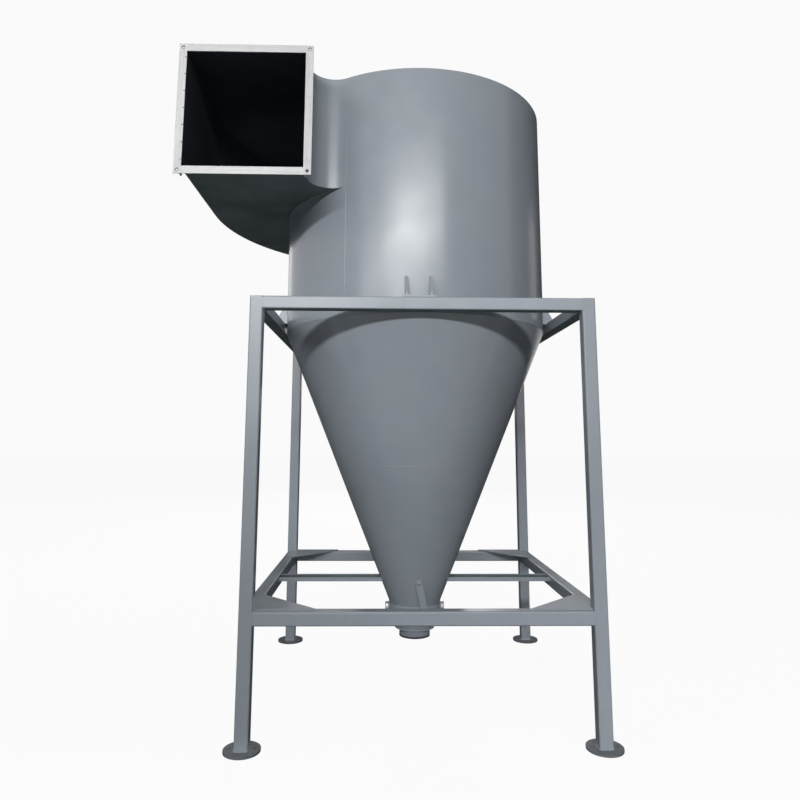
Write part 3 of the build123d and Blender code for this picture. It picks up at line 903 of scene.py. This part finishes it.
class CYCLONE_OT_build_stage(bpy.types.Operator):
    """Build the pale floor, the lamps and the camera"""

    bl_idname = "cyclone.build_stage"
    bl_label = "Build the stage"

    def execute(self, context):
        scene = context.scene
        stage = scene.cyclone_stage

        paper = bpy.data.materials.new("floor_paper")
        tree = empty_tree(paper)
        grey = add_node(tree, "ShaderNodeBsdfDiffuse", {"Color": stage.floor_grey})
        glow = add_node(tree, "ShaderNodeEmission")
        # A thin share of lit paper stays in the white, and carries the object's shadow.
        sheet = add_node(tree, "ShaderNodeBsdfDiffuse", {"Color": (0.8, 0.8, 0.8, 1)})
        veil = add_node(tree, "ShaderNodeMixShader", {0: stage.shadow_share, 1: glow, 2: sheet})
        add_node(tree, "ShaderNodeOutputMaterial", {"Surface": paper_shader(tree, grey, veil)})
        reach = 40.0
        corners = [(-reach, -reach, 0), (reach, -reach, 0), (reach, reach, 0), (-reach, reach, 0)]
        floor = flat_cards("studio_floor", [corners], paper)

        # Dark cards stand behind and beside the stand and lie under it. Only gloss sees them.
        dark = bpy.data.materials.new("black_felt")
        tree = empty_tree(dark)
        felt = add_node(tree, "ShaderNodeBsdfDiffuse", {"Color": (0.03, 0.03, 0.03, 1)})
        add_node(tree, "ShaderNodeOutputMaterial", {"Surface": felt})
        cards = [
            [(-5, -0.9, 0.002), (5, -0.9, 0.002), (5, 3.6, 0.002), (-5, 3.6, 0.002)],
            [(-5, 3.6, 0.002), (0, 3.6, 0.002), (0, 3.6, 1.9), (-5, 3.6, 1.9)],
            [(-5, -1.5, 0.002), (-5, 3.6, 0.002), (-5, 3.6, 1.9), (-5, -1.5, 1.9)],
            [(5, -0.5, 0.002), (5, 2.1, 0.002), (5, 2.1, 6.5), (5, -0.5, 6.5)],
            [(5, 2.1, 3.95), (5, 3.6, 3.95), (5, 3.6, 6.5), (5, 2.1, 6.5)],
            [(5, 2.1, 0.002), (5, 3.6, 0.002), (5, 3.6, 2.4), (5, 2.1, 2.4)],
            [(1.8, 3.6, 1.9), (5, 3.6, 1.9), (5, 3.6, 6.5), (1.8, 3.6, 6.5)],
            [(0, 3.6, 0.002), (5, 3.6, 0.002), (5, 3.6, 1.3), (0, 3.6, 1.3)],
        ]
        card = flat_cards("dark_cards", cards, dark)
        card.visible_camera = card.visible_diffuse = card.visible_shadow = False

        # A flag between the high windows and the lower left corner, seen by no eye and no gloss.
        y = -3.0
        outline = [(-2.0, y, 1.2), (-0.8, y, 1.2), (-0.8, y, 1.5), (-1.4, y, 2.05), (-2.0, y, 2.05)]
        flag = flat_cards("flag", [outline], dark)
        flag.visible_camera = flag.visible_glossy = False

        world = bpy.data.worlds.new("studio")
        tree = empty_tree(world)
        dim = add_node(tree, "ShaderNodeBackground", {"Color": (1, 1, 1, 1), "Strength": stage.fill})
        white = add_node(tree, "ShaderNodeBackground", {"Color": stage.paper})
        add_node(tree, "ShaderNodeOutputWorld", {"Surface": paper_shader(tree, dim, white)})
        scene.world = world

        # Each strip's left, right, lower and upper edge, its place in depth and its brightness
        far, near = -12.0, -7.0
        strips = (
            ("high_windows", -4.2, 1.6, 5.35, 6.1, far, stage.windows),
            ("high_windows_right", 1.6, 3.0, 5.75, 6.2, far, stage.windows * 1.15),
            ("high_windows_far_right", 3.0, 4.7, 5.95, 6.35, far, stage.windows * 1.15),
            ("high_windows_left", -6.8, -4.2, 5.3, 6.0, far, stage.windows * 0.72),
            ("high_windows_far_left", -13.0, -6.8, 5.2, 5.9, far, stage.windows * 0.48),
            ("doorway_left", -3.15, -0.37, 2.4, 3.2, near, stage.doorway * 0.98),
            ("doorway_low", -3.15, -0.37, 1.2, 2.4, near, stage.doorway * 0.34),
            ("doorway_right", 0.5, 2.8, 1.2, 3.2, near, stage.doorway * 0.2),
        )
        for name, left, right, low, high, depth, brightness in strips:
            x, z = (left + right) / 2, (low + high) / 2
            size = right - left, high - low
            lamp(name, (x, depth, z), (x, 0.0, z), *size, brightness, diffuse=depth == far)
        lamp("window_left", (-6.5, -3.5, 5.6), (0.0, 0.0, 2.0), 4.0, 2.6, stage.window_left, glossy=False)
        behind_left, left_edge = (-4.05, 6.0, 3.75), (-0.6, -0.1, 1.85)
        lamp("window_behind_left", behind_left, left_edge, 0.6, 1.3, stage.gleam, diffuse=False)
        below_right, ground = (1.3, -5.0, 0.45), (0.75, -0.65, -0.4)
        low = lamp("low_window_right", below_right, ground, 1.5, 1.2, stage.low_right, glossy=False)
        low.data.spread = radians(34)
        in_scroll, duct_roof = (-0.69, 0.0, 2.15), (-0.78, 0.25, 2.5)
        lamp("light_down_the_duct", in_scroll, duct_roof, 0.2, 0.2, stage.leak, glossy=False)
        lamp("sky_behind", (0.0, 10.0, 5.0), (0.0, 0.0, 1.5), 3.0, 5.0, stage.sky_behind, glossy=False)
        lamp("overhead", (0.0, 1.0, 6.0), (0.0, 0.0, 0.0), 4.0, 4.0, stage.overhead)
        lamp("behind", (0.0, 7.0, 3.2), (0.0, 0.0, 1.4), 3.0, 3.0, stage.behind)

        turn, tilt, roll = stage.camera_turn
        ahead = Vector((sin(turn) * cos(tilt), cos(turn) * cos(tilt), sin(tilt)))
        right = Vector((cos(turn), -sin(turn), 0))
        up = right.cross(ahead)
        level, rise = right * cos(roll) + up * sin(roll), up * cos(roll) - right * sin(roll)
        data = bpy.data.cameras.new("camera")
        data.sensor_width = 36
        data.lens = stage.camera_lens
        data.shift_x, data.shift_y = stage.camera_shift
        camera = new_object("camera", data)
        rotation = Matrix((level, rise, -ahead)).transposed()
        camera.matrix_world = Matrix.Translation(Vector(stage.camera_place)) @ rotation.to_4x4()
        scene.camera = camera
        scene.view_settings.view_transform = "Standard"
        return {"FINISHED"}


class CYCLONE_PT_steps(bpy.types.Panel):
    """Sidebar panel with the steps and their sizes."""

    bl_idname = "CYCLONE_PT_steps"
    bl_label = "Dust cyclone"
    bl_space_type = "VIEW_3D"
    bl_region_type = "UI"
    bl_category = "Cyclone"

    def draw(self, context):
        for step in STEPS:
            self.layout.operator(step.bl_idname)
        for name in GROUPS:
            box = self.layout.box()
            group = getattr(context.scene, name)
            for key in group.__annotations__:
                box.prop(group, key)


GROUPS = {
    "cyclone_paint": CYCLONE_PG_paint,
    "cyclone_flange": CYCLONE_PG_flange,
    "cyclone_weld": CYCLONE_PG_weld,
    "cyclone_fasteners": CYCLONE_PG_fasteners,
    "cyclone_stage": CYCLONE_PG_stage,
}
STEPS = (
    CYCLONE_OT_paint_vessel,
    CYCLONE_OT_paint_stand,
    CYCLONE_OT_coat_flange,
    CYCLONE_OT_weld_vessel,
    CYCLONE_OT_weld_stand,
    CYCLONE_OT_rivet_flange,
    CYCLONE_OT_bolt_clamp,
    CYCLONE_OT_screw_strap,
    CYCLONE_OT_build_stage,
)


def register():
    """Add the property groups, operators and panel."""
    for name, group in GROUPS.items():
        bpy.utils.register_class(group)
        setattr(bpy.types.Scene, name, bpy.props.PointerProperty(type=group))
    for step in STEPS:
        bpy.utils.register_class(step)
    bpy.utils.register_class(CYCLONE_PT_steps)


def unregister():
    """Take them out again."""
    bpy.utils.unregister_class(CYCLONE_PT_steps)
    for step in reversed(STEPS):
        bpy.utils.unregister_class(step)
    for name, group in reversed(GROUPS.items()):
        delattr(bpy.types.Scene, name)
        bpy.utils.unregister_class(group)


def main():
    """Run every step in order."""
    register()
    for step in STEPS:
        family, name = step.bl_idname.split(".")
        getattr(getattr(bpy.ops, family), name)()


if __name__ == "__main__":
    main()
